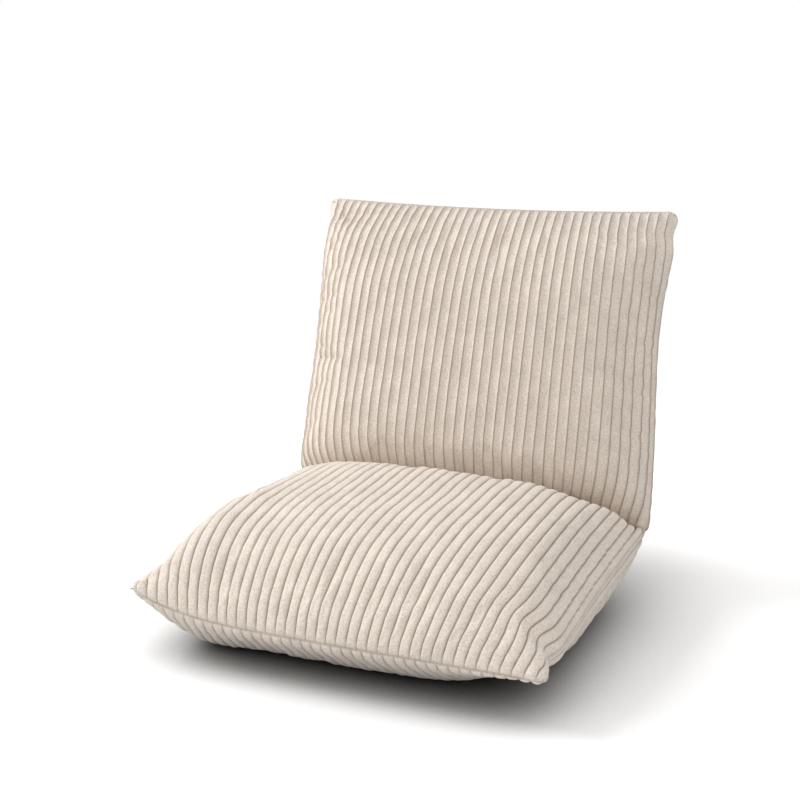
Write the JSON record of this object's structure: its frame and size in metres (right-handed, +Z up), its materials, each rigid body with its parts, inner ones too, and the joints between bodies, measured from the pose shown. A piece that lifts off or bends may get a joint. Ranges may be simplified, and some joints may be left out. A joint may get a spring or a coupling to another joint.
{
  "type": "folding floor chair",
  "caption": "Legless folding floor chair with two pillow cushions in ivory wide-wale corduroy, joined at the waist over a steel tube frame with ratchet hinges.",
  "frame": {"origin": "on the floor under the middle of the seat", "axes": "+X to the chair's left-to-right across the seat as seen from the front, +Y from the seat's front edge towards the back, +Z up"},
  "size_m": [0.48, 0.5267, 0.4678],
  "materials": {
    "corduroy": "wide-wale corduroy",
    "foam": "open-cell foam",
    "fibre": "soft fibre",
    "frame_steel": "powder coat",
    "hinge_steel": "zinc plated",
    "spring_steel": "satin"
  },
  "bodies": {
    "seat": {"seat_frame_tube": "frame_steel", "seat_cross_tubes": "frame_steel", "left_case_plate_inner": "hinge_steel", "left_case_plate_outer": "hinge_steel", "left_pawl_spring": "spring_steel", "left_pivot_rivet": "hinge_steel", "left_pawl_rivet": "hinge_steel", "left_spacer_rivets": "hinge_steel", "right_case_plate_inner": "hinge_steel", "right_case_plate_outer": "hinge_steel", "right_pawl_spring": "spring_steel", "right_pivot_rivet": "hinge_steel", "right_pawl_rivet": "hinge_steel", "right_spacer_rivets": "hinge_steel", "seat_foam_upper": "foam", "seat_foam_lower": "foam", "seat_fibre_top": "fibre", "seat_fibre_base": "fibre", "seat_top_panel": "corduroy", "seat_base_panel": "corduroy", "waist_panel": "corduroy", "fold_panel": "corduroy"},
    "back": {"back_frame_tube": "frame_steel", "back_cross_tubes": "frame_steel", "left_gear_arm": "hinge_steel", "right_gear_arm": "hinge_steel", "back_foam_front": "foam", "back_foam_rear": "foam", "back_fibre_front": "fibre", "back_fibre_rear": "fibre", "back_front_panel": "corduroy", "back_rear_panel": "corduroy"},
    "left_pawl_lever": {"left_pawl": "hinge_steel"},
    "right_pawl_lever": {"right_pawl": "hinge_steel"}
  },
  "joints": [
    {"name": "back_fold", "type": "hinge", "parent": "seat", "child": "back", "pos_m": [0, 0.1975, 0.09], "axis": [-1, 0, 0], "range_deg": [-74, 74], "deforming": ["seat_top_panel", "seat_fibre_top", "back_front_panel", "back_fibre_front", "waist_panel", "fold_panel"]},
    {"name": "left_pawl_swing", "type": "hinge", "parent": "seat", "child": "left_pawl_lever", "pos_m": [-0.178, 0.16478, 0.08196], "axis": [-1, 0, 0], "range_deg": [0, 8], "stiffness_Nm_per_rad": 0.05, "springref_deg": -17.19, "deforming": ["left_pawl_spring"]},
    {"name": "right_pawl_swing", "type": "hinge", "parent": "seat", "child": "right_pawl_lever", "pos_m": [0.178, 0.16478, 0.08196], "axis": [-1, 0, 0], "range_deg": [0, 8], "stiffness_Nm_per_rad": 0.05, "springref_deg": -17.19, "deforming": ["right_pawl_spring"]}
  ],
  "couplings": [
    {"joint": "right_pawl_swing", "follows": "left_pawl_swing", "ratio": 1}
  ]
}
